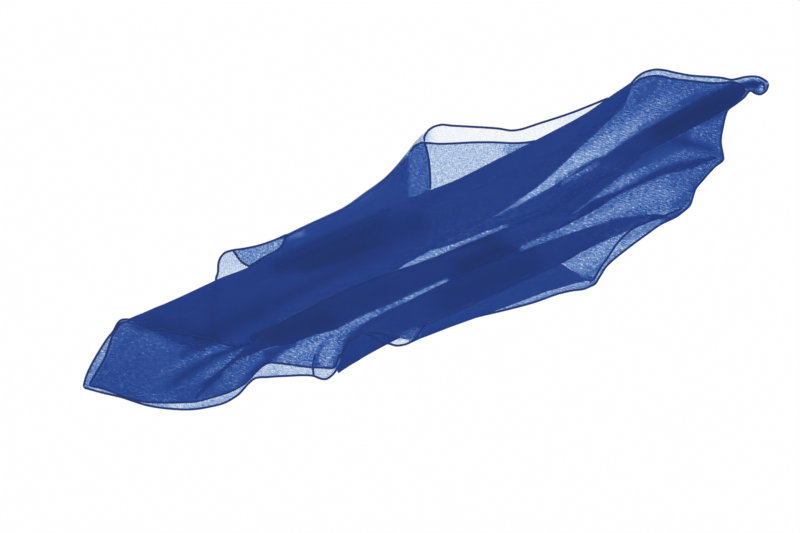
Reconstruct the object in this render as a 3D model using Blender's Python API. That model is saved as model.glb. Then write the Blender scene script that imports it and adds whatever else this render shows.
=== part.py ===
"""A sheer sarong, dropped in lengthwise folds and lying flat, with +X along its length.

The cloth is one wide panel with a narrow rolled hem. Two plies of it spread out flat, and the rest lies
on them in long folds, with a flap that falls out on the far side. Each stretch that shows is an object
of its own, worked out from a table with a row for each section across the heap. Sizes are in millimetres
in the tables and metres in the meshes. +Y is the far side, and z = 0 is the surface it lies on.
"""

import math
from collections import namedtuple

import bmesh
import bpy
import numpy as np

MM = 0.001
PLY = 1.2  # wall of a single ply
BEAD = 0.4  # how much thicker the rolled hem is than the ply
BEAD_WIDTH = 3.0
GAP = 0.4  # clearance between a ply and what lies under it
LONGEST_STEP = 34.0  # along the cloth, between two sections
SHORTEST_STEP = 7.0
EDGE_INSET = 0.9  # how far in from an edge the wall reaches its full thickness
EDGE_SOFTNESS = 0.3  # share of the wall that an edge is rounded by, above and below
CROWN_FADE = 60.0  # length over which a fold's crown rises from its end
CENTRE = (0.0, 0.5)  # middle of the heap in the tables' own places

# The grid on which each stretch is laid on those below it.
CELL_X, CELL_Y = 6.0, 4.0
GRID_X = np.arange(-912.0, 912.1, CELL_X)
GRID_Y = np.arange(-264.0, 264.1, CELL_Y)
SPREAD_CELLS = (6, 5)
SOFT_CELLS = (2, 1)

# One row for each section: its place along the cloth, and its far and near edges.
Section = namedtuple("Section", "along far near")
# One row for each soft ridge: both ends, the height of its crest and its half width.
Ridge = namedtuple("Ridge", "x0 y0 x1 y1 height half_width")
# One row for each point of an edge that is read on its own.
Edge = namedtuple("Edge", "along across")

UNDER_FAR = [
    Edge(-900, 22), Edge(-884, 42), Edge(-862, 62), Edge(-825, 89), Edge(-799, 106), Edge(-773, 120),
    Edge(-764, 128), Edge(-752, 133), Edge(-738, 129), Edge(-715, 112), Edge(-640, 108), Edge(-1, 103), Edge(120, 97),
    Edge(343, 108), Edge(456, 118), Edge(532, 132), Edge(584, 149), Edge(600, 157), Edge(619, 165),
    Edge(643, 168), Edge(667, 162), Edge(702, 139), Edge(737, 115), Edge(773, 96), Edge(804, 79),
    Edge(823, 66), Edge(852, 60), Edge(872, 53), Edge(885, 45), Edge(895, 35), Edge(900, 24),
]
UNDER_NEAR = [
    Edge(-900, 19), Edge(-862, -12), Edge(-825, -40), Edge(-779, -81), Edge(-734, -110), Edge(-679, -136),
    Edge(-642, -146), Edge(-603, -152), Edge(-569, -148), Edge(-534, -133), Edge(-515, -128),
    Edge(-484, -138), Edge(-436, -156), Edge(-383, -180), Edge(-370, -193), Edge(-358, -199),
    Edge(-342, -196), Edge(-328, -189), Edge(-300, -172), Edge(-221, -162), Edge(-188, -181),
    Edge(-170, -195), Edge(-146, -200), Edge(-100, -199), Edge(15, -206), Edge(78, -217), Edge(135, -227),
    Edge(178, -233), Edge(232, -237), Edge(268, -244), Edge(299, -252), Edge(320, -252), Edge(339, -241),
    Edge(367, -223), Edge(421, -207), Edge(487, -192), Edge(530, -184), Edge(565, -183), Edge(584, -179),
    Edge(608, -171), Edge(623, -155), Edge(637, -140), Edge(661, -128), Edge(702, -110), Edge(725, -104),
    Edge(729, -92), Edge(742, -49), Edge(759, -28), Edge(773, -9), Edge(785, 2), Edge(804, 6),
    Edge(832, 13), Edge(852, 22), Edge(860, 11), Edge(874, 3), Edge(890, 8), Edge(900, 20),
]
UPPER_FAR = [
    Edge(-886, 21), Edge(-862, 38), Edge(-826, 64), Edge(-798, 93), Edge(-782, 110), Edge(-772, 116),
    Edge(-764, 122), Edge(-752, 127), Edge(-738, 123), Edge(-715, 107), Edge(-640, 102), Edge(-1, 96), Edge(118, 90), Edge(343, 101),
    Edge(456, 110), Edge(532, 124), Edge(584, 141), Edge(600, 150), Edge(619, 157), Edge(643, 154),
    Edge(667, 145), Edge(690, 128), Edge(725, 107), Edge(761, 86), Edge(792, 71), Edge(822, 60),
    Edge(850, 33),
]
UPPER_NEAR = [
    Edge(-886, 18), Edge(-855, -5), Edge(-815, -44), Edge(-779, -72), Edge(-741, -91), Edge(-689, -113),
    Edge(-660, -123), Edge(-625, -128), Edge(-580, -133), Edge(-545, -130), Edge(-508, -116),
    Edge(-484, -108), Edge(-470, -107), Edge(-451, -116), Edge(-377, -160), Edge(-351, -172),
    Edge(-332, -181), Edge(-310, -163), Edge(-290, -149), Edge(-266, -136), Edge(-231, -133),
    Edge(-195, -150), Edge(-174, -169), Edge(-151, -184), Edge(-137, -192), Edge(-122, -191),
    Edge(-103, -181), Edge(-65, -169), Edge(90, -163), Edge(270, -172), Edge(300, -222),
    Edge(319, -242), Edge(352, -220), Edge(378, -205), Edge(411, -184), Edge(435, -174),
    Edge(470, -166), Edge(584, -170), Edge(608, -161), Edge(623, -147), Edge(661, -119), Edge(702, -101),
    Edge(722, -94), Edge(727, -80), Edge(736, -49), Edge(754, -22), Edge(769, -3), Edge(804, 13),
    Edge(832, 20), Edge(850, 29),
]
FLAP_OUTER = [
    Section(-504, 131, 127), Section(-493, 143, 122), Section(-482, 164, 118), Section(-470, 175, 117),
    Section(-455, 180, 117), Section(-441, 178, 116), Section(-412, 170, 115), Section(-379, 163, 114),
    Section(-331, 159, 113), Section(-245, 161, 112), Section(-166, 162, 112), Section(-93, 175, 111),
    Section(-38, 187, 110), Section(17, 210, 108), Section(49, 227, 107), Section(64, 235, 106),
    Section(95, 247, 105), Section(123, 253, 103), Section(138, 251, 103), Section(163, 238, 103),
    Section(206, 216, 105), Section(263, 186, 108), Section(292, 168, 110), Section(315, 162, 111),
    Section(356, 158, 114), Section(401, 153, 118), Section(450, 149, 122), Section(508, 147, 132),
    Section(536, 146, 139),
]
FLAP_INNER = [
    Section(-440, 173, 168), Section(-434, 172, 150), Section(-428, 170, 136), Section(-418, 168, 120),
    Section(-379, 160, 117), Section(-331, 156, 117), Section(-245, 158, 116), Section(-166, 159, 115),
    Section(-93, 171, 114), Section(-38, 184, 113), Section(17, 206, 111), Section(50, 223, 110),
    Section(64, 230, 109), Section(78, 230, 108), Section(90, 225, 107), Section(116, 211, 106),
    Section(163, 192, 106), Section(187, 183, 107), Section(244, 158, 110), Section(280, 140, 113),
    Section(315, 127, 116), Section(335, 122, 118),
]
FLAP_FOLD = [
    Section(-416, 126, 122), Section(-372, 131, 121), Section(-342, 133, 120), Section(-325, 140, 120),
    Section(-315, 149, 120), Section(-302, 154, 120), Section(-245, 155, 120),
    Section(-166, 156, 119), Section(-93, 168, 118), Section(-38, 181, 117), Section(17, 203, 115),
    Section(50, 219, 114), Section(58, 223, 122), Section(66, 226, 148), Section(74, 226, 168),
    Section(82, 225, 196), Section(88, 222, 217),
]
UPPER_BAND = [
    Section(-734, 127, 122), Section(-720, 127, 106), Section(-696, 126, 78), Section(-665, 126, 42),
    Section(-637, 125, 11), Section(-601, 125, -19), Section(-551, 126, -33), Section(-493, 127, -44),
    Section(-441, 124, -37), Section(-349, 123, -29), Section(-184, 122, -26), Section(-101, 121, -28),
    Section(-67, 120, -21), Section(-32, 120, -19), Section(54, 116, -10), Section(118, 113, -6),
    Section(168, 115, -3), Section(220, 118, 4), Section(292, 121, 18), Section(378, 126, 46),
    Section(425, 129, 64), Section(473, 134, 79), Section(520, 143, 96), Section(556, 150, 108),
    Section(580, 154, 132), Section(603, 158, 152),
]
RIGHT_FOLD = [
    Section(-6, -12, -16), Section(54, -8, -25), Section(126, -2, -28), Section(185, -3, -32),
    Section(239, 0, -35), Section(283, 3, -38), Section(346, 9, -34), Section(411, 18, -24),
    Section(473, 26, -17), Section(520, 35, -13), Section(592, 44, -9), Section(655, 50, -5),
    Section(725, 56, -1), Section(787, 58, 7), Section(822, 56, 15), Section(842, 38, 25),
]
MIDDLE_FOLD = [
    Section(-665, -112, -117), Section(-644, -100, -109), Section(-608, -84, -97), Section(-573, -71, -84),
    Section(-545, -63, -76), Section(-510, -50, -71), Section(-480, -42, -71), Section(-441, -33, -75),
    Section(-404, -28, -87), Section(-349, -24, -89), Section(-284, -21, -98), Section(-210, -20, -95),
    Section(-151, -21, -96), Section(-101, -26, -95), Section(-67, -30, -95), Section(1, -35, -95),
    Section(55, -36, -99), Section(136, -39, -101), Section(216, -41, -96), Section(270, -45, -95),
    Section(301, -58, -94), Section(347, -74, -92), Section(401, -65, -87), Section(473, -65, -78),
    Section(568, -60, -78), Section(655, -70, -92), Section(712, -86, -94),
]
MIDDLE_TUCK = [
    Section(276, -42, -46), Section(310, -40, -56), Section(347, -37, -71), Section(401, -29, -61),
    Section(449, -22, -48), Section(497, -17, -36), Section(516, -15, -28), Section(548, -13, -18),
]
LOWER_BAND = [
    Section(-327, -188, -197), Section(-313, -180, -194), Section(-306, -163, -193),
    Section(-294, -144, -191), Section(-275, -125, -189), Section(-254, -116, -186),
    Section(-222, -111, -183), Section(-165, -107, -179), Section(-103, -105, -177),
    Section(3, -101, -178), Section(90, -103, -176), Section(204, -107, -174), Section(268, -111, -173),
    Section(331, -116, -167), Section(388, -122, -165), Section(435, -127, -165), Section(471, -137, -166),
    Section(507, -149, -168), Section(535, -161, -172), Section(553, -178, -182),
]
LOWER_FLAP = [
    Section(-141, -193, -198), Section(-128, -180, -199), Section(-103, -173, -201),
    Section(-42, -173, -204), Section(15, -173, -208), Section(78, -171, -212), Section(159, -169, -217),
    Section(211, -168, -220), Section(244, -168, -225), Section(268, -172, -228), Section(282, -193, -230),
    Section(296, -210, -233), Section(303, -224, -234), Section(310, -233, -237),
]
TIP_CURL = [
    Section(853, 50, 28), Section(860, 48, 18), Section(870, 43, 11), Section(880, 37, 11),
    Section(890, 28, 17),
]

# The folds that fan out from the bands to the hems, in the upper ply.
FAN_RIDGES = [
    Ridge(-720, 70, -580, -40, 4.5, 20), Ridge(-760, 10, -560, -62, 5.0, 17),
    Ridge(-700, -75, -500, -92, 4.0, 14), Ridge(-600, -112, -470, -88, 3.5, 12),
    Ridge(-470, -95, -380, -105, 3.5, 12), Ridge(-385, -160, -345, -110, 3.0, 11),
    Ridge(330, -225, 400, -178, 2.5, 9), Ridge(600, -155, 480, -120, 4.5, 15),
    Ridge(690, -112, 500, -101, 5.0, 14), Ridge(715, -70, 600, -38, 4.5, 15),
    Ridge(740, -30, 640, -20, 3.5, 12), Ridge(800, 30, 640, 84, 4.0, 15),
    Ridge(730, 92, 560, 70, 4.5, 17), Ridge(650, 140, 500, 48, 4.0, 16),
]
BAND_RIDGES = [
    Ridge(-640, 60, -100, 40, 2.6, 26), Ridge(-420, 95, 260, 88, 2.4, 20), Ridge(-430, -5, 40, 12, 2.4, 20),
    Ridge(-60, 60, 480, 105, 2.8, 22), Ridge(120, 22, 400, 72, 2.0, 16),
]


def smooth_through(points, places):
    """Monotone cubic through (place, value) points, so an edge bends softly and never overshoots."""
    xs = np.array([point[0] for point in points], float)
    ys = np.array([point[1] for point in points], float)
    widths = np.diff(xs)
    slopes = np.diff(ys) / widths
    tangents = np.concatenate([slopes[:1], (slopes[1:] + slopes[:-1]) / 2, slopes[-1:]])
    for i in range(1, len(slopes)):
        if slopes[i - 1] * slopes[i] <= 0:
            tangents[i] = 0
        else:
            before, after = 2 * widths[i] + widths[i - 1], widths[i] + 2 * widths[i - 1]
            tangents[i] = (before + after) / (before / slopes[i - 1] + after / slopes[i])
    where = np.clip(np.asarray(places, float), xs[0], xs[-1])
    at = np.clip(np.searchsorted(xs, where, side="right") - 1, 0, len(slopes) - 1)
    t = (where - xs[at]) / widths[at]
    return (
        ys[at] * (1 + 2 * t) * (1 - t) ** 2
        + ys[at + 1] * t * t * (3 - 2 * t)
        + widths[at] * (tangents[at] * t * (1 - t) ** 2 + tangents[at + 1] * t * t * (t - 1))
    )


def ridge_height(ridges, x, y):
    """Height of the soft ridges at places: a rounded crest that fades out at both ends."""
    height = np.zeros(np.broadcast(x, y).shape)
    for ridge in ridges:
        along_x, along_y = ridge.x1 - ridge.x0, ridge.y1 - ridge.y0
        length = math.hypot(along_x, along_y)
        t = np.clip(((x - ridge.x0) * along_x + (y - ridge.y0) * along_y) / length**2, 0, 1)
        off = ((x - ridge.x0) * along_y - (y - ridge.y0) * along_x) / length
        crest = ridge.height * np.sin(math.pi * t) * np.exp(-((off / ridge.half_width) ** 2))
        height = np.maximum(height, crest)
    return height


def shifted(field, steps, axis):
    """The field moved by some cells, with its border repeated."""
    places = np.clip(np.arange(field.shape[axis]) - steps, 0, field.shape[axis] - 1)
    return np.take(field, places, axis=axis)


def spread(field, cells, axis):
    """Each cell takes the highest value within so many cells of it."""
    return np.max([shifted(field, steps, axis) for steps in range(-cells, cells + 1)], axis=0)


def softened(field, cells, axis):
    """Each cell takes the mean of the cells within so many of it."""
    return np.mean([shifted(field, steps, axis) for steps in range(-cells, cells + 1)], axis=0)


class Stretch:
    """A stretch of cloth between a far and a near edge, thicker in the middle where it hides more layers."""

    def __init__(self, name, far, near, rows, below=(), crown=0.0, ridges=(), hem_far=False, hem_near=False):
        self.name = name
        self.far = far
        self.near = near
        self.rows = rows
        self.crown = crown
        self.ridges = ridges
        self.hem_far = hem_far
        self.hem_near = hem_near
        self.wall = PLY * (2 if crown else 1)
        self.rest = self.rest_on(below)
        self.top = self.top_field()

    @staticmethod
    def rest_on(below):
        """Height field that the cloth lies on: what is below, spread out and softened, so it clears it all."""
        field = np.zeros((len(GRID_X), len(GRID_Y)))
        for lower in below:
            field = np.maximum(field, lower.top)
        field = spread(spread(field, SPREAD_CELLS[0], 0), SPREAD_CELLS[1], 1)
        for _ in range(2):
            field = softened(softened(field, SOFT_CELLS[0], 0), SOFT_CELLS[1], 1)
        return field

    def span(self):
        return max(self.far[0][0], self.near[0][0]), min(self.far[-1][0], self.near[-1][0])

    def stations(self):
        """The sections of both tables, with more between them where they lie far apart."""
        start, stop = self.span()
        marks = sorted({point[0] for point in self.far + self.near if start <= point[0] <= stop})
        kept = [marks[0]]
        for mark in marks[1:]:
            if mark - kept[-1] >= SHORTEST_STEP:
                kept.append(mark)
            elif mark == marks[-1]:
                kept[-1] = mark
        found = [float(kept[0])]
        for mark in kept[1:]:
            steps = max(1, math.ceil((mark - found[-1]) / LONGEST_STEP))
            found += list(np.linspace(found[-1], mark, steps + 1)[1:])
        return found

    def edges(self, x):
        return smooth_through(self.far, x), smooth_through(self.near, x)

    def thickness(self, x, v):
        """Wall at the share v of the way from the near edge to the far one."""
        start, stop = self.span()
        rise = min(CROWN_FADE, (stop - start) / 3)
        fade = np.clip(np.minimum(x - start, stop - x) / rise, 0, 1)
        return self.wall + self.crown * fade * np.sin(math.pi * v) ** 2

    def top_field(self):
        """Top of this stretch over the whole heap, and 0 where it doesn't reach."""
        x, y = GRID_X[:, None], GRID_Y[None, :]
        start, stop = self.span()
        far, near = self.edges(GRID_X)
        far, near = far[:, None], near[:, None]
        v = np.clip((y - near) / np.maximum(far - near, 0.1), 0, 1)
        raised = BEAD * (self.hem_far or self.hem_near)
        height = self.rest + ridge_height(self.ridges, x, y) + self.thickness(x, v) + raised + GAP
        inside = (y > near - CELL_Y) & (y < far + CELL_Y) & (x > start - CELL_X) & (x < stop + CELL_X)
        return np.where(inside, height, 0.0)

    def bottom(self, x, y):
        """Height of the underside: the field below, read between its cells, and the ridges."""
        i = np.clip((x - GRID_X[0]) / CELL_X, 0, len(GRID_X) - 1.001)
        j = np.clip((y - GRID_Y[0]) / CELL_Y, 0, len(GRID_Y) - 1.001)
        i0, j0 = int(i), int(j)
        across = self.rest[i0 : i0 + 2, j0 : j0 + 2] @ np.array([1 - (j - j0), j - j0])
        rest = (1 - (i - i0)) * across[0] + (i - i0) * across[1]
        return float(rest + ridge_height(self.ridges, np.array(x), np.array(y)))

    def section(self, x):
        """Points round the wall at one place, from the near edge over the top and back underneath."""
        far, near = (float(edge) for edge in self.edges(x))
        width = far - near
        bead = min(BEAD_WIDTH, width / 5)
        inset = min(EDGE_INSET, width / 8)
        inner = np.linspace(near + bead, far - bead, self.rows)
        upper, under = [], []
        for y in [near, near + inset, *inner, far - inset, far]:
            v = min(1.0, max(0.0, (y - near) / width))
            base = self.bottom(x, y)
            wall = self.thickness(x, v)
            at_edge = y in (near, far)
            in_hem = (self.hem_near and y <= near + inset) or (self.hem_far and y >= far - inset)
            soft = EDGE_SOFTNESS * wall if at_edge else 0.0
            upper.append((x, y, base + wall + BEAD * in_hem - soft))
            under.append((x, y, base + (soft if base > 0 else 0.0)))
        return upper + under[::-1]

    def build(self, colour):
        mesh = bmesh.new()
        rings = []
        for x in self.stations():
            rings.append([mesh.verts.new(self.place(point)) for point in self.section(x)])
        for before, after in zip(rings, rings[1:]):
            for i in range(len(before)):
                j = (i + 1) % len(before)
                mesh.faces.new((before[i], before[j], after[j], after[i]))
        for ring in (rings[0], rings[-1]):
            self.cap(mesh, ring)
        bmesh.ops.recalc_face_normals(mesh, faces=mesh.faces)
        data = bpy.data.meshes.new(self.name)
        mesh.to_mesh(data)
        mesh.free()
        data.shade_smooth()
        data.set_sharp_from_angle(angle=math.radians(50))
        data.materials.append(colour)
        made = bpy.data.objects.new(self.name, data)
        bpy.context.scene.collection.objects.link(made)
        return made

    @staticmethod
    def place(point):
        return ((point[0] - CENTRE[0]) * MM, (point[1] - CENTRE[1]) * MM, point[2] * MM)

    @staticmethod
    def cap(mesh, ring):
        """Closes an end with quads between the upper and the lower row."""
        half = len(ring) // 2
        for i in range(half - 1):
            mesh.faces.new((ring[i], ring[i + 1], ring[-2 - i], ring[-1 - i]))


def cloth_colour(name, colour):
    material = bpy.data.materials.new(name)
    material.use_nodes = True
    shader = material.node_tree.nodes["Principled BSDF"]
    shader.inputs["Base Color"].default_value = (*colour, 1)
    shader.inputs["Roughness"].default_value = 0.85
    shader.inputs["Metallic"].default_value = 0.0
    return material


def both_edges(sections):
    far = [Edge(section.along, section.far) for section in sections]
    near = [Edge(section.along, section.near) for section in sections]
    return far, near


def clear_scene():
    for thing in list(bpy.data.objects):
        bpy.data.objects.remove(thing)


def main():
    clear_scene()
    light_voile = cloth_colour("voile_light", (0.10, 0.22, 0.55))
    deep_voile = cloth_colour("voile_deep", (0.02, 0.04, 0.17))

    under = Stretch("under_ply", UNDER_FAR, UNDER_NEAR, 2, hem_far=True, hem_near=True)
    flap_outer = Stretch("flap_outer", *both_edges(FLAP_OUTER), 2, hem_far=True)
    upper = Stretch("upper_ply", UPPER_FAR, UPPER_NEAR, 16, [under], 0.0, FAN_RIDGES, True, True)
    flap_inner = Stretch("flap_inner", *both_edges(FLAP_INNER), 4, [flap_outer], hem_far=True)
    flap_fold = Stretch("flap_fold", *both_edges(FLAP_FOLD), 4, [flap_inner], 0.6)
    tuck = Stretch("middle_tuck", *both_edges(MIDDLE_TUCK), 4, [upper], 0.8)
    middle = Stretch("middle_fold", *both_edges(MIDDLE_FOLD), 5, [upper, tuck], 2.4)
    lower_flap = Stretch("lower_flap", *both_edges(LOWER_FLAP), 4, [under, upper], 0.6)
    lower = Stretch("lower_band", *both_edges(LOWER_BAND), 6, [upper, lower_flap], 3.4)
    right = Stretch("right_fold", *both_edges(RIGHT_FOLD), 5, [upper, tuck], 2.6)
    below_band = [upper, flap_outer, flap_inner, flap_fold, middle, right]
    band = Stretch("upper_band", *both_edges(UPPER_BAND), 9, below_band, 4.6, BAND_RIDGES)
    curl = Stretch("tip_curl", *both_edges(TIP_CURL), 4, [under], 1.6)

    for stretch in (under, upper, flap_outer, flap_inner, tuck, lower_flap, curl):
        stretch.build(light_voile)
    for stretch in (flap_fold, middle, lower, right, band):
        stretch.build(deep_voile)


main()
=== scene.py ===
# %% [markdown]
# # A sheer sarong, dropped flat in long folds
# The real thing is one wide panel of blue voile with a narrow rolled hem on its four sides. It lies where
# it was dropped: two plies spread out flat, and the rest of the panel rests on them in lengthwise folds.
# The solids of the part give every stretch its place and its height. This script puts thin cloth on them,
# with finer creases, rolled hems, a slubby weave, a colour that deepens with each ply that lies below, and
# painted shade along creases and folds.
# We start by loading the solids as a fixed frame.

import math
from collections import namedtuple

import bmesh
import bpy
import numpy as np
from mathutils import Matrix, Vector
from mathutils.bvhtree import BVHTree


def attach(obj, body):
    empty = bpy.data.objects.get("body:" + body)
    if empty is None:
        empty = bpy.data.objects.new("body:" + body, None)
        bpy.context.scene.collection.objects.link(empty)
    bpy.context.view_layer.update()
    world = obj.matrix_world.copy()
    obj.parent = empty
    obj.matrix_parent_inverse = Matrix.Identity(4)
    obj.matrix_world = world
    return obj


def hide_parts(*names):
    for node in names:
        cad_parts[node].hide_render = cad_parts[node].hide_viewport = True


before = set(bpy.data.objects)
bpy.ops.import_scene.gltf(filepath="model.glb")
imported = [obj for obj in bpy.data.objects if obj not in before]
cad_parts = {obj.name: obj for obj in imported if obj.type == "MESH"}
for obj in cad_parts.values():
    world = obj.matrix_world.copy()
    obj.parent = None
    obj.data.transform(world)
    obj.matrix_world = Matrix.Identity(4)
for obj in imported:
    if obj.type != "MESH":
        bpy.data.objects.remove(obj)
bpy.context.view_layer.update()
MM = 0.001
print("solids:", sorted(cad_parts))

# %% [markdown]
# ## Reading a stretch from its solid
# Each solid is a row of sections across the cloth. A section's lowest and highest points along Y are the
# near and the far edge of that stretch, so the outline can be read back from the solid. Typing the
# outline again here would also work, but then two files would have to be changed together.
# A monotone cubic joins the sections, because it bends softly and never swings past them.

# %% Edges of a stretch
def smooth_through(xs, ys, places):
    """Monotone cubic through the points, read at the places."""
    widths = np.diff(xs)
    slopes = np.diff(ys) / widths
    turning = slopes[:-1] * slopes[1:] <= 0  # at a peak or a dip the curve runs level
    before, after = 2 * widths[1:] + widths[:-1], widths[1:] + 2 * widths[:-1]
    coming, going = np.where(turning, 1.0, slopes[:-1]), np.where(turning, 1.0, slopes[1:])
    harmonic = (before + after) / (before / coming + after / going)
    tangents = np.concatenate([slopes[:1], np.where(turning, 0, harmonic), slopes[-1:]])
    where = np.clip(places, xs[0], xs[-1])
    at = np.clip(np.searchsorted(xs, where, side="right") - 1, 0, len(slopes) - 1)
    t = (where - xs[at]) / widths[at]
    return (
        ys[at] * (1 + 2 * t) * (1 - t) ** 2
        + ys[at + 1] * t * t * (3 - 2 * t)
        + widths[at] * (tangents[at] * t * (1 - t) ** 2 + tangents[at + 1] * t * t * (t - 1))
    )


SAME_SECTION = 1 * MM  # points closer than this along X belong to one section
END = 1.2 * MM  # a fold closes over this much of its length at both ends
FINE_STEP = 0.5 * MM  # the edges' lengths are measured in steps of this size
TURN_WEIGHT = 0.7  # how much a turn across the cloth counts in the spacing of the stations
FAR_OFF = 0.1  # rays to the solid start this far above or below the surface
NEARBY = 0.01  # height from which the nearest point of the top is looked for
EDGE_FADE = 3 * MM  # a stretch fades in over this distance where it covers others


class Stretch:
    """One stretch of the cloth, read from its solid: two edges, a top and an underside."""

    def __init__(self, node):
        self.node = node
        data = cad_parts[node].data
        points = np.array([vertex.co for vertex in data.vertices])
        found = np.unique(points[:, 0])
        self.marks = found[np.concatenate([[True], np.diff(found) > SAME_SECTION])]
        ends = points[np.array([tuple(edge.vertices) for edge in data.edges])]
        cuts = [self.cut(ends, mark) for mark in self.marks]
        self.near_marks, self.far_marks = np.array(cuts).T
        polygons = [tuple(polygon.vertices) for polygon in data.polygons]
        self.tree = BVHTree.FromPolygons([Vector(point) for point in points], polygons)

    @staticmethod
    def cut(ends, mark):
        """Nearest and farthest point where the solid's edges pass a place along the cloth."""
        low, high = ends[:, :, 0].min(axis=1), ends[:, :, 0].max(axis=1)
        passing = ends[(low <= mark + SAME_SECTION / 2) & (high >= mark - SAME_SECTION / 2)]
        length = passing[:, 1, 0] - passing[:, 0, 0]
        upright = np.abs(length) < SAME_SECTION
        t = np.clip((mark - passing[:, 0, 0]) / np.where(upright, 1.0, length), 0, 1)
        y = passing[:, 0, 1] * (1 - t) + passing[:, 1, 1] * t
        y = np.concatenate([y, passing[upright][:, :, 1].ravel()])
        return y.min(), y.max()

    def far(self, x):
        """The far edge at places along the cloth."""
        return smooth_through(self.marks, self.far_marks, x)

    def near(self, x):
        """The near edge at places along the cloth."""
        return smooth_through(self.marks, self.near_marks, x)

    def stations(self, step):
        """Places along the cloth, closer together where an edge turns steeply across it."""
        x = np.arange(self.marks[0], self.marks[-1], FINE_STEP)
        x = np.append(x, self.marks[-1])
        turn = np.maximum(np.abs(np.diff(self.far(x))), np.abs(np.diff(self.near(x))))
        run = np.concatenate([[0], np.cumsum(np.hypot(np.diff(x), TURN_WEIGHT * turn))])
        places = np.linspace(0, run[-1], max(4, round(run[-1] / step)) + 1)
        places = np.sort(np.append(places, [END, run[-1] - END]))
        return np.interp(places, run, x)

    def height(self, x, y, upper=True):
        """Top or underside of the solid at a place, or at its nearest point just outside it."""
        start = Vector((x, y, FAR_OFF if upper else -FAR_OFF))
        hit = self.tree.ray_cast(start, Vector((0, 0, -1 if upper else 1)))[0]
        if hit is None:
            hit = self.tree.find_nearest(Vector((x, y, NEARBY if upper else 0)))[0]
        return hit.z

    def covers(self, x, y):
        """1 where the stretch lies, softened over a few millimetres at its edges, and 0 elsewhere."""
        from_sides = np.minimum(y - self.near(x), self.far(x) - y)
        from_ends = np.minimum(x - self.marks[0], self.marks[-1] - x)
        return np.clip(np.minimum(from_sides, from_ends) / EDGE_FADE + 0.5, 0, 1)


stretches = {node: Stretch(node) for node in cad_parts}
for stretch in stretches.values():
    print(f"{stretch.node}: {len(stretch.marks)} sections over {np.ptp(stretch.marks) * 1000:.0f} mm")

# %% [markdown]
# ## Creases, painted shade and how many plies show
# Sheer cloth gets its depth of colour from the number of plies that the light goes through, so that number
# is what we write down: a soft zone says how many plies lie in one stretch around a line. Some narrow zones
# along folds also add plies as painted shadows of the folds. Where cloth stands up in a crease, we also look
# through more of it, so a crease has a height and some extra plies along its crest, partly for that and
# partly as painted shade. Painting the colours by hand would look right from one side only, and it would
# hide the reason for them.

# %% Tables of zones and creases, in millimetres
# A soft zone round a line: both ends, its half width and the plies that lie there; in some narrow zones
# along folds these plies are painted shadows of the folds. A later zone in a list lies over the earlier
# ones.
Zone = namedtuple("Zone", "x0 y0 x1 y1 half_width plies")
# To the right of this line, seen from its first end, other plies lie in the stretch.
Step = namedtuple("Step", "x0 y0 x1 y1 softness plies")
# Along one side of a fold, between two places, its plies thin out towards the edge.
Soft = namedtuple("Soft", "side start stop width least")
# A crease: both ends, how far its middle bows out, its height, half width and extra plies, which darken
# its crest partly as cloth seen on edge and partly as painted shade.
Crease = namedtuple("Crease", "x0 y0 x1 y1 bow height half_width gather")

# Plies in each stretch that lies as a single sheet, outside its zones.
PLIES = {"under_ply": 0.9, "upper_ply": 3.2, "flap_outer": 0.15, "flap_inner": 0.85}
# A fold hides many layers, so it is simpler to say how many plies are seen from above, with those below it.
SEEN = {
    "flap_fold": 5.9, "upper_band": 6.6, "middle_fold": 7.5, "lower_band": 7.0, "lower_flap": 6.0,
    "middle_tuck": 6.9, "right_fold": 7.4, "tip_curl": 3.2,
}
# A fold has at least this many plies of its own. The small curl may be clearer.
LEAST_PLIES = 0.8
LEAST_OWN = {"tip_curl": 0.3}
WIDE = 15  # a zone with a larger half width fades out more slowly
SOFT_FADE = 30  # a soft side begins and ends over this distance along the cloth
CREST_ENDS = 0.7  # how quickly a crease rises from its ends: less is quicker
# The stretches that each stretch lies on.
BELOW = {
    "upper_ply": ["under_ply"], "flap_inner": ["flap_outer"], "flap_fold": ["flap_outer", "flap_inner"],
    "middle_tuck": ["under_ply", "upper_ply"], "middle_fold": ["under_ply", "upper_ply", "middle_tuck"],
    "lower_flap": ["under_ply", "upper_ply"], "lower_band": ["under_ply", "upper_ply", "lower_flap"],
    "right_fold": ["under_ply", "upper_ply", "middle_tuck"], "tip_curl": ["under_ply"],
    "upper_band": [
        "under_ply", "upper_ply", "flap_outer", "flap_inner", "flap_fold", "middle_tuck", "middle_fold",
        "right_fold",
    ],
}
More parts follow.
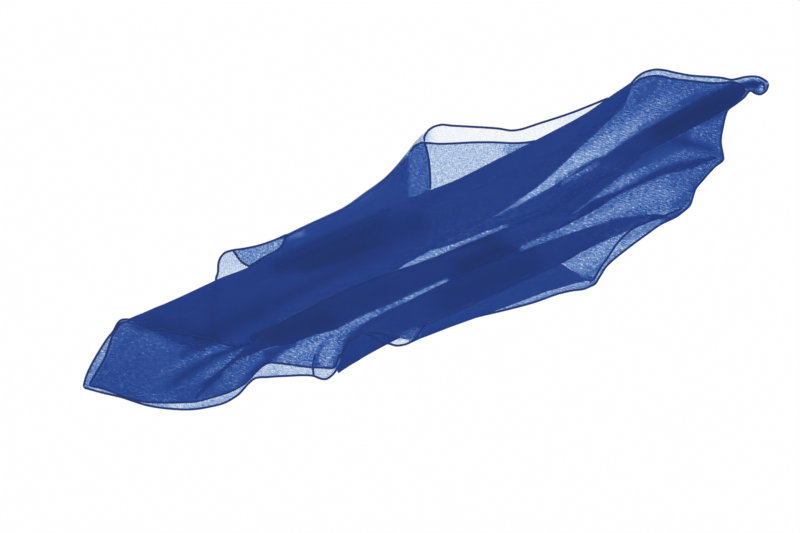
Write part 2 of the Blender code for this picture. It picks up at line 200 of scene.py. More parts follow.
# Wide zones set the depth of a region, and narrow ones make slivers, rims and the shadows of folds.
ZONES = {
    "under_ply": [
        Zone(-890, 28, -845, 64, 22, 2.7), Zone(-835, 72, -790, 102, 18, 2.0),
        Zone(-860, -14, -740, -105, 14, 1.7), Zone(-700, -135, -590, -150, 14, 1.5),
        Zone(-560, -150, -470, -140, 22, 1.3), Zone(600, 160, 800, 82, 20, 1.5),
        Zone(800, 80, 840, 60, 12, 1.6), Zone(838, 38, 866, 31, 12, 8.8), Zone(884, 36, 896, 20, 9, 2.6),
        Zone(892, 14, 878, 6, 7, 2.8), Zone(862, 14, 864, 10, 7, 6.0), Zone(-731, 126, -705, 118, 7, 4.6),
        Zone(-320, -186, -294, -156, 9, 4.6), Zone(-40, -208, 320, -250, 18, 2.5),
        Zone(350, -222, 430, -200, 16, 2.2), Zone(430, -180, 530, -176, 13, 2.8),
        Zone(540, -174, 600, -170, 13, 5.2), Zone(600, -172, 640, -136, 20, 4.2),
        Zone(640, -136, 722, -104, 20, 4.6), Zone(722, -104, 740, -58, 11, 5.0),
        Zone(740, -58, 800, 0, 14, 5.0), Zone(752, -32, 778, -2, 9, 5.0), Zone(800, 2, 856, 20, 12, 3.6),
        Zone(-196, -178, -146, -200, 14, 0.5), Zone(269, -172, 310, -235, 12, 2.2),
        Zone(316, -232, 318, -240, 7, 4.5),
    ],
    "flap_outer": [
        Zone(-520, 150, -430, 160, 50, 0.8), Zone(-400, 165, -60, 180, 45, 1.0),
        Zone(-20, 205, 75, 245, 26, 1.6), Zone(420, 150, 560, 145, 26, 0.3),
    ],
    "flap_inner": [
        Zone(-430, 150, -330, 130, 40, 1.5), Zone(-300, 150, -60, 160, 40, 1.5),
        Zone(0, 195, 45, 220, 16, 1.6), Zone(262, 128, 300, 122, 11, 2.0),
    ],
    "flap_fold": [Zone(-298, 150, -270, 146, 9, 3.6), Zone(-130, 160, -80, 166, 9, 5.2)],
    "upper_ply": [
        Zone(-860, 20, -660, -20, 80, 4.3), Zone(-700, 50, -645, 28, 26, 3.7),
        Zone(-712, 104, -640, 10, 9, 4.6), Zone(-724, 112, -712, 92, 11, 5.4),
        Zone(-650, -4, -600, -4, 9, 5.6), Zone(-715, -23, -590, -24, 10, 3.6),
        Zone(-596, -22, -546, -28, 7, 2.4), Zone(-590, -39, -550, -41, 5, 5.4),
        Zone(-540, -41, -496, -45, 4, 7.6), Zone(-466, -84, -396, -91, 8, 6.0),
        Zone(-705, -106, -625, -106, 7, 5.2), Zone(-690, -85, -590, -120, 22, 4.4),
        Zone(-620, -73, -540, -62, 10, 3.2), Zone(-630, -92, -590, -86, 8, 6.2),
        Zone(-570, -97, -500, -88, 16, 3.4), Zone(-600, -112, -560, -118, 10, 3.5),
        Zone(-430, -108, -330, -118, 20, 1.7), Zone(-350, -140, -310, -120, 16, 1.7),
        Zone(-345, -164, -322, -142, 11, 1.5), Zone(-440, -125, -380, -150, 14, 2.1),
        Zone(-320, -100, -180, -97, 13, 1.9), Zone(-180, -98, -100, -99, 11, 2.6),
        Zone(-100, -99, -2, -99, 10, 1.7), Zone(18, -98, 185, -100, 12, 7.2),
        Zone(-100, -27, 40, -28, 9, 1.2), Zone(40, -29, 140, -32, 5, 1.6),
        Zone(140, -32, 180, -34, 4.5, 2.4), Zone(180, -34, 205, -35, 3, 3.4),
        Zone(196, -38, 300, -45, 8, 5.8), Zone(300, -41, 350, -36, 7, 5.8),
        Zone(-724, 121, -700, 114, 6, 3.4), Zone(276, -44, 347, -72, 9, 5.6),
        Zone(540, 34, 600, 41, 6, 4.6), Zone(347, -72, 390, -68, 4, 2.6),
        Zone(408, -60, 470, -57, 7, 2.3), Zone(60, -5, 230, -3, 6, 2.6), Zone(250, 3, 400, 32, 25, 0.9),
        Zone(400, 34, 480, 42, 25, 0.9), Zone(480, 42, 600, 62, 27, 1.5), Zone(600, 76, 690, 84, 24, 2.4),
        Zone(570, 44, 690, 60, 6, 3.2), Zone(690, 62, 735, 62, 8, 4.6), Zone(735, 60, 822, 58, 9, 5.0),
        Zone(350, -34, 470, -22, 8, 5.8), Zone(338, 12, 378, 15, 3, 2.8),
        Zone(378, 15, 400, 18, 3.5, 3.8), Zone(400, 17, 446, 21.5, 3.5, 4.6),
        Zone(532, -160, 600, -162, 9, 4.4), Zone(480, -143, 500, -148, 5, 5.2),
        Zone(490, -18, 690, -13, 8, 5.6), Zone(600, 132, 720, 118, 24, 3.5),
        Zone(700, 96, 800, 70, 22, 3.4), Zone(720, -4, 790, 3, 8, 5.0), Zone(470, -53, 560, -52, 11, 2.1),
        Zone(560, -50, 640, -54, 13, 3.1), Zone(500, -30, 660, -30, 10, 4.8),
        Zone(690, -18, 745, -40, 20, 3.3), Zone(200, -100, 320, -106, 9, 2.6),
        Zone(320, -109, 520, -108, 17, 1.7), Zone(500, -100, 600, -124, 22, 1.9),
        Zone(600, -108, 660, -114, 22, 3.2), Zone(430, -92, 580, -88, 9, 2.5),
        Zone(290, -190, 560, -176, 34, 1.3), Zone(314, -232, 318, -240, 7, 4.5),
        Zone(572, -150, 608, -138, 12, 3.0),
    ],
    "upper_band": [
        Zone(-690, 80, -420, 60, 60, 7.0), Zone(-690, 95, -600, 42, 14, 8.0),
        Zone(-590, 14, -420, 18, 18, 8.4), Zone(-660, 60, -604, 26, 6, 8.0),
        Zone(-600, 20, -556, -7, 7, 10.2), Zone(-590, -18, -548, -28, 7, 3.6),
        Zone(-480, -38, -420, -34, 9, 9.0), Zone(-300, 113, -60, 112, 10, 7.8),
        Zone(-350, 92, -90, 84, 20, 9.3), Zone(-290, 72, -110, 50, 18, 10.3),
        Zone(-90, 66, -10, 52, 30, 8.2), Zone(-420, 20, -100, 30, 14, 7.6),
    ],
    "middle_fold": [
        Zone(-670, -115, -600, -86, 14, 7.2), Zone(-600, -86, -520, -62, 8, 8.0),
        Zone(-60, -34, 60, -40, 3, 8.4), Zone(60, -40, 150, -44, 3.5, 9.3),
        Zone(-430, -48, -300, -64, 26, 9.8), Zone(-280, -40, -150, -60, 20, 8.2),
        Zone(122, -50, 135, -66, 16, 9.0), Zone(50, -84, 155, -83, 17, 9.9),
        Zone(210, -60, 330, -80, 40, 6.5),
    ],
    "lower_band": [
        Zone(-10, -134, 195, -138, 36, 8.6), Zone(-150, -176, -118, -176, 8, 4.4),
        Zone(-264, -172, -205, -152, 18, 6.1), Zone(400, -160, 500, -160, 9, 5.9),
    ],
    "lower_flap": [Zone(-141, -197, -116, -182, 11, 3.0)],
    "right_fold": [
        Zone(620, 20, 790, 30, 26, 10.5), Zone(800, 30, 842, 30, 14, 9.0),
        Zone(-6, -14, 300, -18, 24, 6.1), Zone(300, -14, 470, -4, 16, 6.4),
        Zone(352, 4, 400, 6, 4.5, 1.6), Zone(400, 6, 446, 10, 5, 1.6),
    ],
    "tip_curl": [
        Zone(853, 38, 871, 29, 8, 8.8), Zone(858, 14, 866, 8, 6, 6.0), Zone(876, 18, 882, 17, 7, 2.4),
        Zone(860, 48, 888, 34, 4, 1.6),
    ],
}
# The outermost layer of the flap's fold ends along this line.
STEPS = {"flap_fold": [Step(-2, 120, 42, 219, 3, 4.0)]}
# Hidden edges have no softness: these are sides that turn away, or lie on clearer cloth.
SOFTS = {
    "under_ply": [Soft("far", -700, 570, 22, 0.0)],
    "upper_ply": [Soft("far", -700, 570, 22, 0.0)],
    "flap_outer": [Soft("far", -330, 50, 10, 5.0)],
    "flap_inner": [Soft("far", -330, 50, 10, 4.0)],
    "right_fold": [Soft("far", 440, 830, 7, 0.5), Soft("far", -20, 340, 5, 0.5)],
    "middle_fold": [
        Soft("near", -680, -500, 9, 0.6), Soft("near", -400, -290, 6, 2.5), Soft("near", -300, 300, 6, 1.5),
        Soft("near", 400, 720, 6, 1.2),
        Soft("far", 420, 720, 7, 0.4),
    ],
    "upper_band": [Soft("near", 200, 620, 4, 1.2), Soft("near", -740, -500, 5, 0.8)],
    "lower_band": [Soft("far", 360, 490, 4, 1.0), Soft("far", -310, -215, 7, 0.8)],
    "middle_tuck": [Soft("near", 340, 560, 6, 1.0), Soft("far", 270, 560, 4, 1.0)],
}
# Uneven in length, depth and spacing, and fanned out from where the cloth is pulled together.
# Each crease's extra plies darken its crest: partly more cloth seen on edge, partly painted shade in the
# crease.
CREASES = {
    "upper_ply": [
        Crease(-750, -68, -505, -38, -8, 2.2, 11, 2.0), Crease(-556, -126, -400, -86, -4, 2.2, 9, 2.8),
        Crease(-380, -178, -300, -104, -13, 2.6, 5, 2.4), Crease(-331, -184, -322, -148, 3, 2.0, 5, 0.8),
        Crease(545, -165, 655, -116, 9, 2.2, 8, 1.0), Crease(500, 25, 760, 52, 4, 1.8, 16, 1.2),
        Crease(560, 88, 660, 148, 4, 1.5, 12, 0.8), Crease(628, -8, 730, -90, -4, 1.6, 11, 2.6),
        Crease(-800, 60, -700, 100, -3, 1.2, 12, 0.5), Crease(-840, -10, -760, -66, 3, 1.2, 12, 0.5),
        Crease(490, -60, 680, -78, -3, 1.4, 10, 1.6),
    ],
    "upper_band": [Crease(-505, 124, -570, -14, 8, 0.6, 7, 1.4)],
}


def crease_field(creases, x, y):
    """Height and extra plies of the creases, partly painted shade, at places: crests that fade out at both
    ends.
    """
    height, gather = np.zeros(x.shape), np.zeros(x.shape)
    for crease in creases:
        along_x, along_y = crease.x1 - crease.x0, crease.y1 - crease.y0
        length = math.hypot(along_x, along_y)
        off_x, off_y = x / MM - crease.x0, y / MM - crease.y0
        t = np.clip((off_x * along_x + off_y * along_y) / length**2, 0, 1)
        off = (off_x * along_y - off_y * along_x) / length - crease.bow * np.sin(math.pi * t)
        crest = np.sin(math.pi * t) ** CREST_ENDS * np.exp(-((off / crease.half_width) ** 2))
        height = np.maximum(height, crease.height * MM * crest)
        gather = np.maximum(gather, crease.gather * crest)
    return height, gather


def zone_field(name, x, y):
    """How many plies lie in a stretch at places, with the painted shadows of folds, before its creases."""
    plies = np.full(x.shape, PLIES.get(name) or SEEN[name])
    for zone in ZONES.get(name, []):
        along_x, along_y = zone.x1 - zone.x0, zone.y1 - zone.y0
        off_x, off_y = x / MM - zone.x0, y / MM - zone.y0
        t = np.clip((off_x * along_x + off_y * along_y) / (along_x**2 + along_y**2), 0, 1)
        away = np.hypot(off_x - t * along_x, off_y - t * along_y)
        share = np.exp(-((away / zone.half_width) ** (2 if zone.half_width > WIDE else 3)))
        plies = plies * (1 - share) + zone.plies * share
    return plies


def step_field(name, plies, x, y):
    """The plies, changed on one side of each step line."""
    for step in STEPS.get(name, []):
        along_x, along_y = step.x1 - step.x0, step.y1 - step.y0
        off = ((x / MM - step.x0) * along_y - (y / MM - step.y0) * along_x) / math.hypot(along_x, along_y)
        share = np.clip(off / step.softness + 0.5, 0, 1)
        plies = plies * (1 - share) + step.plies * share
    return plies


def soften_sides(name, plies, x, y):
    """The plies, thinned out near the sides of a fold that turn away softly."""
    for soft in SOFTS.get(name, []):
        stretch = stretches[name]
        inward = stretch.far(x) - y if soft.side == "far" else y - stretch.near(x)
        along = np.clip(np.minimum(x / MM - soft.start, soft.stop - x / MM) / SOFT_FADE, 0, 1)
        t = np.clip(inward / MM / soft.width, 0, 1)
        share = (1 - t * t * (3 - 2 * t)) * along
        plies = plies * (1 - share) + soft.least * share
    return plies


def plies_and_shade_below(name, x, y):
    """How many plies the stretches below a stretch add up to at places, their painted shade included."""
    total = np.zeros(x.shape)
    for lower in BELOW.get(name, []):
        total += plies_and_shade_in(lower, x, y) * stretches[lower].covers(x, y)
    return total


def plies_and_shade_in(name, x, y):
    """How many plies lie in a stretch at places, with its creases, steps and soft sides, and the painted
    shade of creases and folds.
    """
    plies = step_field(name, zone_field(name, x, y), x, y)
    if name in SEEN:
        plies = np.maximum(plies - plies_and_shade_below(name, x, y), LEAST_OWN.get(name, LEAST_PLIES))
    # The creases' extra plies add their painted shade to the cloth here.
    plies = plies + crease_field(CREASES.get(name, []), x, y)[1]
    plies = soften_sides(name, plies, x, y)
    if name == "under_ply":
        hidden = stretches["upper_ply"].covers(x, y)
        plies = PLIES[name] * hidden + plies * (1 - hidden)
    return plies


print("zones:", sum(len(zones) for zones in ZONES.values()), "creases:", sum(map(len, CREASES.values())))

# %% [markdown]
# ## The cloth as a shader
# Each ply lets some of the light through: more of the blue than of the red. The share that gets through is
# multiplied with every ply, so many plies go dark and blue, and we can work out the colour for any number.
# A tinted glass shader could do this too, but it is slow with this many surfaces and it turns grey
# when a model is exported. So the alpha is grey and follows the red, and the base colour adds what the
# blue and the green still need. To write that maths as plain expressions, a small class wraps a socket.

# %% Sockets that can be added and multiplied
class Sock:
    """A shader socket, or a number, that adds Math nodes when it is used in an expression."""

    def __init__(self, tree, link):
        self.tree = tree
        self.link = link

    def math(self, operation, *others):
        """A Math node with this socket as its first input."""
        node = self.tree.nodes.new("ShaderNodeMath")
        node.operation = operation
        for slot, value in enumerate([self, *others]):
            if isinstance(value, Sock):
                self.tree.links.new(value.link, node.inputs[slot])
            else:
                node.inputs[slot].default_value = value
        return Sock(self.tree, node.outputs[0])

    def __add__(self, other):
        return self.math("ADD", other)

    def __sub__(self, other):
        return self.math("SUBTRACT", other)

    def __mul__(self, other):
        return self.math("MULTIPLY", other)

    def __truediv__(self, other):
        return self.math("DIVIDE", other)

    def __neg__(self):
        return self.math("MULTIPLY", -1.0)

    def __rsub__(self, other):
        return (-self).math("ADD", other)

    def power_of(self, base):
        """base to the power of this socket."""
        return (self * math.log(base)).math("EXPONENT")

    __radd__ = __add__
    __rmul__ = __mul__


class Finish:
    """A material under construction, with one method that adds any node."""

    def __init__(self, name):
        self.material = bpy.data.materials.new(name)
        self.material.use_nodes = True
        self.tree = self.material.node_tree
        self.shader = self.tree.nodes["Principled BSDF"]

    def node(self, kind, settings=(), **inputs):
        """Adds a node, sets it up and feeds its inputs, with _ for a space in their names."""
        made = self.tree.nodes.new(kind)
        for key, value in dict(settings).items():
            setattr(made, key, value)
        for key, value in inputs.items():
            self.feed(made.inputs[key.replace("_", " ")], value)
        return made

    def feed(self, socket, value):
        """Links or sets one input."""
        if isinstance(value, Sock):
            self.tree.links.new(value.link, socket)
        elif isinstance(value, bpy.types.NodeSocket):
            self.tree.links.new(value, socket)
        else:
            socket.default_value = value

    def value(self, link):
        """A socket of this material, ready for maths."""
        return Sock(self.tree, link)


# %% [markdown]
# The voile itself. Its yarn has slubs, thicker bits that show as short streaks along the cloth, so the
# noise that makes them is stretched along the yarn, up to eight times. It changes how many plies we seem
# to look through, and it is made quieter where many plies lie together, because their threads blur into
# each other. A picture of woven cloth would repeat, and its threads would keep one size for good.

# %% Voile
RED, GREEN, BLUE = 0.42, 0.535, 0.745  # share of the light that one ply lets through
DEEP = (0.014, 0.029, 0.108)  # colour of very many plies
DEEP_RED_SHARE = 0.7  # the red is this much lower, since every wall adds its own
STRENGTH_OF_LIGHT = 0.925  # the colours are worked out for this much less light than the floor gets
YARN_TURN, FLAP_TURN = math.radians(-40), math.radians(-24)  # the yarns run aslant to the heap
SLUB_LENGTH, SLUB_WIDTH = 0.024, 0.003
GRAIN_LENGTH, GRAIN_WIDTH = 0.010, 0.0028
NOISE_CONTRAST = 4.5
GRAIN = 0.9  # strength of the fine threads that run along the yarn
WEAVE = 1.7  # how far the plies seem to vary from thread to thread
THIN_WEAVE = 0.45  # in cloth of less than two plies they vary less, in step with its plies
QUIET_FROM, QUIET_OVER = 7.6, 3.0  # the threads fade over the last three of so many plies
QUIET_LEAST = 0.1  # share of the weave that is left in the deepest cloth
CLEAREST = 0.05  # fewest plies at any place


def slubs(finish, turn, length, width):
    """Noise stretched along the yarn, from -1 to 1."""
    place = finish.node("ShaderNodeTexCoord").outputs["Object"]
    turned = finish.node(
        "ShaderNodeMapping", {"vector_type": "TEXTURE"}, Vector=place, Rotation=(0, 0, turn),
        Scale=(length, width, 1.0),
    )
    noise = finish.node(
        "ShaderNodeTexNoise", {"noise_dimensions": "3D"}, Vector=turned.outputs[0], Scale=1.0, Detail=2.0,
        Roughness=0.6,
    )
    spread = (finish.value(noise.outputs["Fac"]) - 0.5) * NOISE_CONTRAST
    return spread.math("MAXIMUM", -1.0).math("MINIMUM", 1.0)


def voile(name, walls, turn=YARN_TURN, slub=0.35, cross=0.35, grain=1.0):
    """Cloth whose colour follows the plies in it and the plies below, painted shade included, seen through
    so many walls.

    slub and cross are the strengths of the slubs and of the threads across them, and grain is the size of
    the fine threads.
    """
    finish = Finish(name)
    # The plies and below attributes also carry the painted shade of creases and the painted shadows of
    # folds.
    own = finish.value(finish.node("ShaderNodeAttribute", {"attribute_name": "plies"}).outputs["Fac"])
    below = finish.value(finish.node("ShaderNodeAttribute", {"attribute_name": "below"}).outputs["Fac"])
    length, width = GRAIN_LENGTH * grain, GRAIN_WIDTH * grain
    yarn = (
        slubs(finish, turn, SLUB_LENGTH, SLUB_WIDTH) * slub
        + slubs(finish, turn, length, width) * GRAIN
        + slubs(finish, turn + math.pi / 2, length, width) * cross
    )
    quiet = ((QUIET_FROM - own - below) / QUIET_OVER).math("MAXIMUM", QUIET_LEAST).math("MINIMUM", 1.0)
    reach = (own * THIN_WEAVE).math("MINIMUM", 1.0)
    own = (own + yarn * reach * quiet * WEAVE).math("MAXIMUM", CLEAREST)
    passed = own.power_of(RED)
    channels = []
    for share, deep in zip((GREEN, BLUE), DEEP[1:]):
        under = below.power_of(share) * (1 - deep) + deep
        over = (own + below).power_of(share) * (1 - deep) + deep
        channels.append((over - under * passed) / (1.0 - passed) * STRENGTH_OF_LIGHT)
    red = DEEP[0] * STRENGTH_OF_LIGHT * DEEP_RED_SHARE
    colour = finish.node("ShaderNodeCombineColor", Red=red, Green=channels[0], Blue=channels[1])
    finish.feed(finish.shader.inputs["Base Color"], colour.outputs[0])
    finish.feed(finish.shader.inputs["Alpha"], 1.0 - (own / walls).power_of(RED))
    place = finish.node("ShaderNodeTexCoord").outputs["Object"]
    threads = finish.node("ShaderNodeTexNoise", Vector=place, Scale=900.0, Detail=2.0)
    bump = finish.node("ShaderNodeBump", Strength=0.25, Distance=0.0004, Height=threads.outputs["Fac"])
    finish.feed(finish.shader.inputs["Normal"], bump.outputs["Normal"])
    finish.shader.inputs["Roughness"].default_value = 0.8
    finish.shader.inputs["Specular IOR Level"].default_value = 0.15
    return finish.material


sheer = voile("sheer voile", 2)
flap_sheer = voile("sheer voile of the flap", 2, FLAP_TURN, slub=0.15, cross=0.7, grain=0.85)
gathered = voile("gathered voile", 4)
print("materials:", [material.name for material in (sheer, flap_sheer, gathered)])

# %% [markdown]
# ## Laying the plies
# A ply is a grid of quads that is bent into place: its rows run along the cloth and its columns across, from
# the near to the far edge. Its height is read from the top of the solid, smoothed so the solid's flat
# facets don't show, with the finer creases added. A cloth simulation would slide the folds away from where
# they lie in the photo, so the plies are laid one by one. Solidify then gives the shell its thickness.

# %% Lattices of cloth
SHELL = 0.35 * MM
STEP_ALONG, STEP_ACROSS = 6 * MM, 5 * MM
DRAWN_IN, END_DRAWN_IN = 0.6 * MM, 0.2 * MM  # heights are read this far inside the solid's edges and ends
PLY_PASSES, FOLD_PASSES = 6, 4  # rounds of smoothing
ROUNDNESS = 0.4  # shape of a fold's side: 1 is an ellipse, and less is fuller


def smoothed(field, passes):
    """The rows and columns drawn towards their neighbours, with the border kept in line."""
    for _ in range(passes):
        for axis in (0, 1):
            wide = np.concatenate([np.take(field, [0], axis), field, np.take(field, [-1], axis)], axis)
            count = field.shape[axis]
            before = np.take(wide, range(count), axis)
            after = np.take(wide, range(2, count + 2), axis)
            field = (before + 2 * field + after) / 4
    return field


def grid_object(name, points, material, closed=False):
    """A grid with one vertex for each point of the lattice, closed round its second direction if asked."""
    along, across = points.shape[0], points.shape[1]
    mesh = bmesh.new()
    bmesh.ops.create_grid(mesh, x_segments=along - 1, y_segments=across - 1, size=1.0)
    for vertex in mesh.verts:
        i = round((vertex.co.x + 1) / 2 * (along - 1))
        j = round((vertex.co.y + 1) / 2 * (across - 1))
        vertex.co = points[i, j]
    if closed:
        bmesh.ops.remove_doubles(mesh, verts=mesh.verts, dist=0.01 * MM)
        bmesh.ops.recalc_face_normals(mesh, faces=mesh.faces)
    data = bpy.data.meshes.new(name)
    mesh.to_mesh(data)
    mesh.free()
    data.shade_smooth()
    data.materials.append(material)
    made = bpy.data.objects.new(name, data)
    bpy.context.scene.collection.objects.link(made)
    return made


def write_plies(piece, name):
    """Stores how many plies lie in the piece and below it at each of its points, painted shade of creases
    and folds included.
    """
    points = np.array([vertex.co for vertex in piece.data.vertices])
    x, y = points[:, 0], points[:, 1]
    for label, values in (("plies", plies_and_shade_in(name, x, y)), ("below", plies_and_shade_below(name, x, y))):
        attribute = piece.data.attributes.new(label, "FLOAT", "POINT")
        attribute.data.foreach_set("value", values.astype(np.float32))


def shell(piece, thickness):
    """Gives the cloth its thickness, on the inside."""
    wall = piece.modifiers.new("cloth thickness", "SOLIDIFY")
    wall.thickness = thickness
    wall.offset = -1


def inside(x, y, near, far):
    """The lattice's places, drawn in a little so that a ray from above or below meets the solid."""
    inmost = np.maximum(far - DRAWN_IN, near + DRAWN_IN + 0.1 * MM)
    drawn_y = np.clip(y, near[:, None] + DRAWN_IN, inmost[:, None])
    drawn_x = np.clip(x, x[0] + END_DRAWN_IN, x[-1] - END_DRAWN_IN)
    return drawn_x, drawn_y


def lay_ply(name):
    """A single sheet on the top of its solid."""
    stretch = stretches[name]
    x = stretch.stations(STEP_ALONG)
    near, far = stretch.near(x), stretch.far(x)
    rows = max(4, round((far - near).max() / STEP_ACROSS)) + 1
    v = np.linspace(0, 1, rows)
    y = near[:, None] + (far - near)[:, None] * v[None, :]
    drawn_x, drawn_y = inside(x, y, near, far)
    z = np.array([[stretch.height(drawn_x[i], drawn_y[i, j]) for j in range(rows)] for i in range(len(x))])
    grid_x = np.repeat(x[:, None], rows, axis=1)
    z = smoothed(z, PLY_PASSES) + crease_field(CREASES.get(name, []), grid_x, y)[0]
    finish = flap_sheer if name.startswith("flap") else sheer
    piece = grid_object(name + "_cloth", np.stack([grid_x, y, z], axis=-1), finish)
    write_plies(piece, name)
    shell(piece, SHELL)
    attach(piece, "root")
    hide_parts(name)
    return piece


def lay_fold(name):
    """A tube all round its solid, rounded at both fold lines and pinched at its ends."""
    stretch = stretches[name]
    x = stretch.stations(STEP_ALONG)
    near, far = stretch.near(x), stretch.far(x)
    half = max(6, round((far - near).max() / STEP_ACROSS))
    angles = np.linspace(-math.pi, math.pi, 2 * half + 1)
    middle, reach = (near + far) / 2, (far - near) / 2
    ends = np.clip(np.minimum(np.arange(len(x)), np.arange(len(x))[::-1]), 0, 1)
    y = middle[:, None] + (reach * np.sqrt(ends))[:, None] * np.cos(angles)[None, :]
    drawn_x, drawn_y = inside(x, y, near, far)
    top, under = np.zeros(y.shape), np.zeros(y.shape)
    for i in range(y.shape[0]):
        for j in range(half + 1):
            top[i, j] = stretch.height(drawn_x[i], drawn_y[i, j])
            under[i, j] = stretch.height(drawn_x[i], drawn_y[i, j], upper=False)
            top[i, -1 - j], under[i, -1 - j] = top[i, j], under[i, j]
    top, under = smoothed(top, FOLD_PASSES), smoothed(under, FOLD_PASSES)
    grid_x = np.repeat(x[:, None], y.shape[1], axis=1)
    top = top + crease_field(CREASES.get(name, []), grid_x, y)[0]
    side = np.sign(np.sin(angles)) * np.abs(np.sin(angles)) ** ROUNDNESS
    z = (top + under) / 2 + (top - under) / 2 * side[None, :] * ends[:, None]
    piece = grid_object(name + "_cloth", np.stack([grid_x, y, z], axis=-1), gathered, closed=True)
    write_plies(piece, name)
    shell(piece, SHELL)
    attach(piece, "root")
    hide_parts(name)
    return piece


cloth = {name: lay_ply(name) for name in PLIES}
cloth.update({name: lay_fold(name) for name in SEEN})
for name, piece in cloth.items():
    print(f"{piece.name}: {len(piece.data.vertices)} points")

# %% [markdown]
# ## Rolled hems
# The panel's edges are rolled over and stitched, which makes a thin dark cord of many plies. It is the
# darkest line in the photo. A flat strip would vanish from the side, so each hem is a slim tube, laid
# along the edge of its ply. A hem's path is read from the stretch's edge, or given by a few points.

# %% Hems
HEM_RADIUS = 2.7 * MM
HEM_FLATNESS = 0.5  # height of the hem as a share of its width
HEM_SIDES = 8
HEM_STEP = 5 * MM
HEM_INSET = 1.5 * MM  # from the edge of the ply to the middle of its hem
HEM_SINK = 0.2 * HEM_RADIUS  # how far the middle lies below the top of the cloth
HEM_PASSES, LINE_PASSES = 4, 3  # rounds of smoothing
PATH_STEP = 3 * MM


def hem_finish():
    """Dark, tightly rolled cloth with fine threads."""
    finish = Finish("rolled hem")
    finish.shader.inputs["Base Color"].default_value = (0.016, 0.040, 0.18, 1)
    finish.shader.inputs["Roughness"].default_value = 0.8
    finish.shader.inputs["Specular IOR Level"].default_value = 0.1
    yarn = slubs(finish, 0.6, 0.0015, 0.0007)
    bump = finish.node("ShaderNodeBump", Strength=0.5, Distance=0.0004, Height=yarn)
    finish.feed(finish.shader.inputs["Normal"], bump.outputs["Normal"])
    return finish.material


hem_material = hem_finish()


def tube_along(name, path, radius, material):
    """A slim tube along a path of points, tapered at both ends."""
    path = np.asarray(path, float)
    run = np.concatenate([[0], np.cumsum(np.linalg.norm(np.diff(path, axis=0), axis=1))])
    count = max(4, round(run[-1] / HEM_STEP)) + 1
    marks = np.linspace(0, run[-1], count)
    path = np.stack([np.interp(marks, run, path[:, k]) for k in range(3)], axis=1)
    ahead = np.gradient(path[:, :2], axis=0)
    ahead /= np.maximum(np.linalg.norm(ahead, axis=1), 1e-9)[:, None]
    sideways = np.stack([-ahead[:, 1], ahead[:, 0], np.zeros(count)], axis=1)
    width = radius * np.clip(np.minimum(np.arange(count), np.arange(count)[::-1]), 0.05, 1)
    angles = np.linspace(0, 2 * math.pi, HEM_SIDES + 1)
    up = np.array([0, 0, 1.0])
    points = (
        path[:, None, :]
        + width[:, None, None] * np.cos(angles)[None, :, None] * sideways[:, None, :]
        + HEM_FLATNESS * width[:, None, None] * np.sin(angles)[None, :, None] * up[None, None, :]
    )
    piece = grid_object(name, points, material, closed=True)
    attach(piece, "root")
    return piece


def edge_path(name, side, start=None, stop=None):
    """Points along one edge of a stretch, at the height of its cloth."""
    stretch = stretches[name]
    first = stretch.marks[0] if start is None else start * MM
    last = stretch.marks[-1] if stop is None else stop * MM
    x = stretch.stations(PATH_STEP)
    x = x[(x >= first) & (x <= last)]
    edge = stretch.far(x) if side == "far" else stretch.near(x)
    y = edge + (-HEM_INSET if side == "far" else HEM_INSET)
    z = [stretch.height(x[i], y[i]) for i in range(len(x))]
    z = smoothed(np.array(z)[:, None], HEM_PASSES)[:, 0]
    return np.stack([x, y, z - HEM_SINK], axis=1)


def line_path(name, *points):
    """A smooth path through a few places, in millimetres, on top of a stretch."""
    places = np.array(points, float) * MM
    run = np.concatenate([[0], np.cumsum(np.linalg.norm(np.diff(places, axis=0), axis=1))])
    marks = np.linspace(0, run[-1], max(6, round(run[-1] / PATH_STEP)))
    x, y = smooth_through(run, places[:, 0], marks), smooth_through(run, places[:, 1], marks)
    z = [stretches[name].height(x[i], y[i]) for i in range(len(marks))]
    z = smoothed(np.array(z)[:, None], LINE_PASSES)[:, 0]
    return np.stack([x, y, z - HEM_SINK], axis=1)


# Edges of the plies that have a hem: the side, and where it starts and stops along the cloth.
HEMS = {
    "under_ply": [("far", None, -726), ("far", 590, None), ("near", None, None)],
    "upper_ply": [("far", None, -730), ("far", 600, None), ("near", None, -300), ("near", 318, 590)],
    "flap_outer": [("far", None, -300), ("far", 100, None)],
    "flap_inner": [("far", 42, None)],
}
# Hems that cross a stretch, by places on them in millimetres.
LINES = {
    "flap_inner": [[(-440, 175), (-436, 167), (-434, 153), (-429, 139), (-420, 127), (-405, 119)]],
    "flap_fold": [
        [(87, 226), (83, 200), (74, 167), (64, 140), (53, 115)],
        [(-418, 124), (-372, 130), (-342, 132), (-325, 139), (-315, 148), (-301, 159)],
    ],
    "flap_outer": [[(87, 226), (92, 238), (108, 249)], [(-495, 140), (-502, 131), (-507, 123)]],
    "upper_band": [
        [(-712, 100), (-693, 82), (-665, 66), (-637, 46), (-597, 20), (-569, 1), (-551, -19), (-522, -38)],
    ],
    "lower_band": [
        [(-308, -168), (-290, -149), (-266, -135), (-231, -133)],
        [(-231, -133), (-215, -149), (-201, -171), (-192, -180)],
        [(-222, -136), (-195, -150), (-174, -169), (-160, -178)],
    ],
    "lower_flap": [[(-139, -199), (-122, -194), (-103, -182), (-89, -174)]],
    "tip_curl": [[(862, 40), (874, 31), (884, 30), (887, 24), (886, 16), (880, 10)]],
    "upper_ply": [[(-383, -180), (-377, -160), (-368, -144), (-356, -131)]],
}
hems = {}
for name in stretches:
    paths = [edge_path(name, *edge) for edge in HEMS.get(name, [])]
    paths += [line_path(name, *points) for points in LINES.get(name, [])]
    hems[name] = [
        tube_along(f"{name}_hem_{number + 1}", path, HEM_RADIUS, hem_material)
        for number, path in enumerate(paths)
    ]
    print(f"{name}: {len(hems[name])} hems")

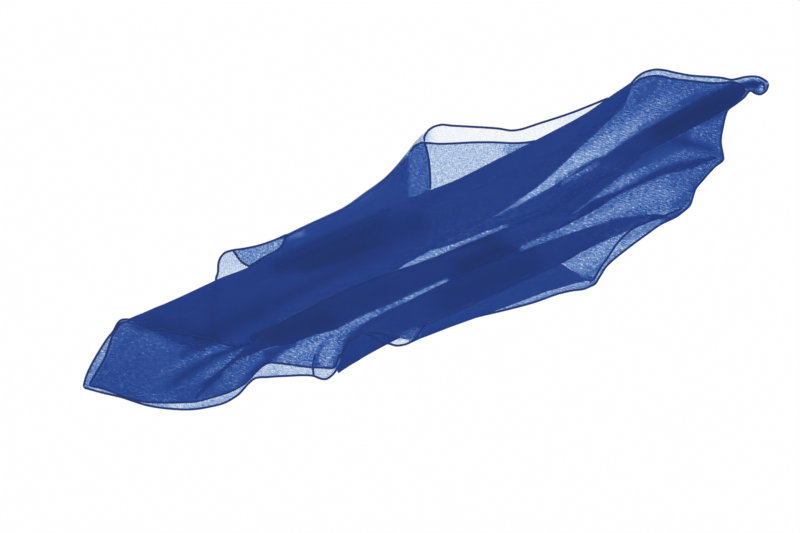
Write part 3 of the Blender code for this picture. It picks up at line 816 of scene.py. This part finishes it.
# %% [markdown]
# ## Flat sizes of the cloth
# Every piece is cloth, cut from a flat panel. A ply is about as wide and long as it lies. A fold is a tube
# of cloth, so its cut is twice as wide as the fold. The record below holds a cut's width, length and area;
# no piece is given one here.

# %% A record for flat sizes, in metres
Cut = namedtuple("Cut", "width length area")

# %% [markdown]
# ## Floor, light and camera
# The photo is a cut-out on white, seen straight from above and turned by about a quarter of a right angle,
# so the camera looks down with the same turn. The light is broad and soft, because the photo shows no
# shadows. A plain white world would do the same, but then the hems and creases would have no relief at all.

# %% Floor, light and camera
VIEW_TURN = math.radians(-23.9)
VIEW_WIDTH = 1.92  # metres of the floor from the left to the right of the picture
LENS, SENSOR = 100.0, 36.0  # a long lens, so the view is nearly parallel
VIEW_CENTRE = (-0.0875, -0.0227)
FLOOR_DROP = 0.4 * MM  # the floor lies this far below the cloth, so the two don't flicker

mesh = bmesh.new()
bmesh.ops.create_grid(mesh, x_segments=1, y_segments=1, size=15.0)
bmesh.ops.translate(mesh, verts=mesh.verts, vec=(0, 0, -FLOOR_DROP))
floor_mesh = bpy.data.meshes.new("floor")
mesh.to_mesh(floor_mesh)
mesh.free()
floor = bpy.data.objects.new("floor", floor_mesh)
bpy.context.scene.collection.objects.link(floor)
paper = Finish("white paper")
paper.shader.inputs["Base Color"].default_value = (0.96, 0.96, 0.96, 1)
paper.shader.inputs["Roughness"].default_value = 0.9
paper.shader.inputs["Specular IOR Level"].default_value = 0.0
floor.data.materials.append(paper.material)

world = bpy.context.scene.world or bpy.data.worlds.new("studio")
bpy.context.scene.world = world
world.use_nodes = True
world.node_tree.nodes["Background"].inputs["Color"].default_value = (1, 1, 1, 1)
world.node_tree.nodes["Background"].inputs["Strength"].default_value = 0.2

sun_data = bpy.data.lights.new("soft sun", "SUN")
sun_data.energy = 2.78
sun_data.angle = math.radians(60)
sun = bpy.data.objects.new("soft sun", sun_data)
sun.rotation_euler = (math.radians(-16), math.radians(-10), 0)
bpy.context.scene.collection.objects.link(sun)

camera_data = bpy.data.cameras.new("camera")
camera_data.lens = LENS
camera_data.sensor_width = SENSOR
camera = bpy.data.objects.new("camera", camera_data)
camera.location = (*VIEW_CENTRE, VIEW_WIDTH * LENS / SENSOR)
camera.rotation_euler = (0, 0, VIEW_TURN)
bpy.context.scene.collection.objects.link(camera)
bpy.context.scene.camera = camera
bpy.context.scene.view_settings.view_transform = "Standard"
bpy.context.scene.cycles.transparent_max_bounces = 64
# The colours already hold what the plies take from the light, so the cloth casts no shadow on itself.
for piece in [*cloth.values(), *sum(hems.values(), [])]:
    piece.visible_shadow = False
    piece.visible_diffuse = False
